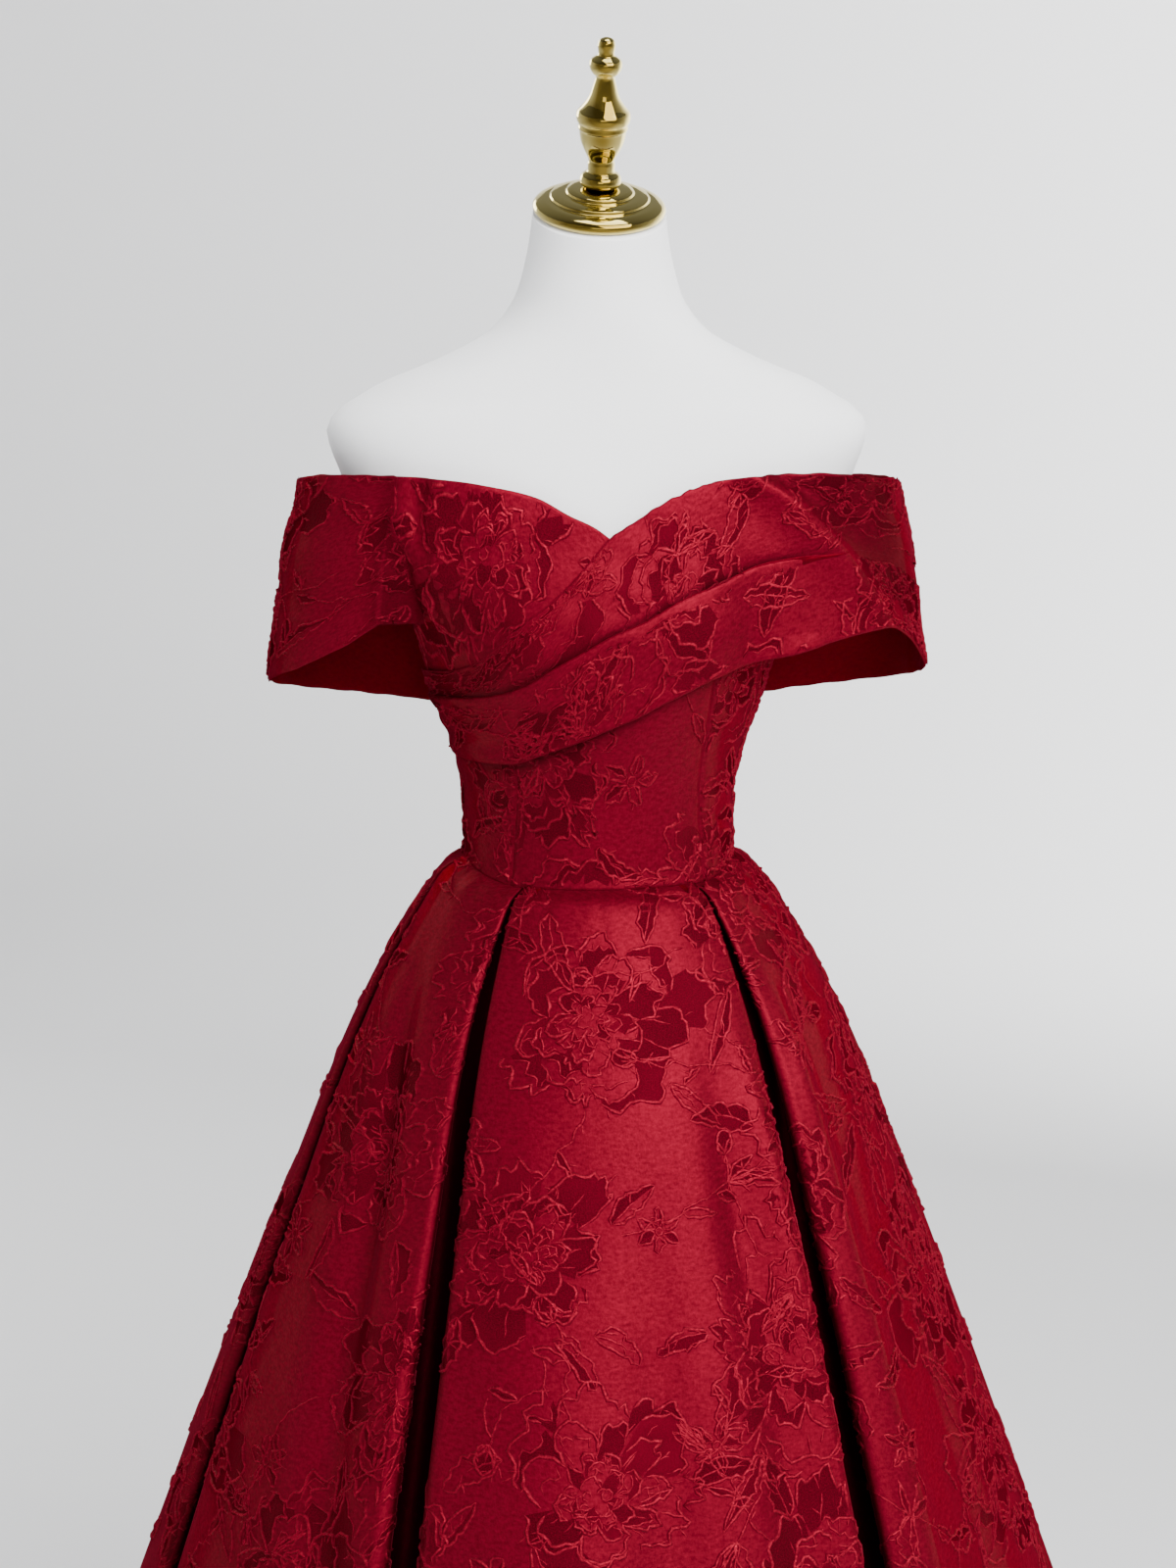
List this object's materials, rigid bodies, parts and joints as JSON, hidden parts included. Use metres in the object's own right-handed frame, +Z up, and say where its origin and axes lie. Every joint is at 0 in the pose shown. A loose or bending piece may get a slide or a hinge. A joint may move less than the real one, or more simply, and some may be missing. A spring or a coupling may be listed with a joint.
{
  "type": "prom dress on a limbless dress form",
  "caption": "Floor-length off-the-shoulder A-line prom dress with crossed wrap neckline, fitted bodice and box-pleated skirt, worn by a limbless dress form on a round stand.",
  "frame": {"origin": "centre of the stand base's underside, on the floor", "axes": "+Z up, the dress faces -Y, +X is the right side as seen from the front"},
  "size_m": [1.05, 0.9964, 1.663],
  "materials": {
    "jacquard": "satin jacquard with raised floral figures",
    "jersey": "fine matte jersey cover",
    "gold": "polished gold plating",
    "stand": "white satin paint"
  },
  "bodies": {
    "root": {"bodice_front": "jacquard", "bodice_side_l": "jacquard", "bodice_side_r": "jacquard", "bodice_back_l": "jacquard", "bodice_back_r": "jacquard", "wrap_over": "jacquard", "wrap_under": "jacquard", "sleeve_l": "jacquard", "sleeve_r": "jacquard", "skirt_front": "jacquard", "skirt_side_front_l": "jacquard", "skirt_side_front_r": "jacquard", "skirt_side_back_l": "jacquard", "skirt_side_back_r": "jacquard", "skirt_back_l": "jacquard", "skirt_back_r": "jacquard", "form_body": "jersey", "neck_cap": "gold", "finial": "gold", "stand_pole": "stand", "stand_base": "stand"}
  },
  "joints": []
}
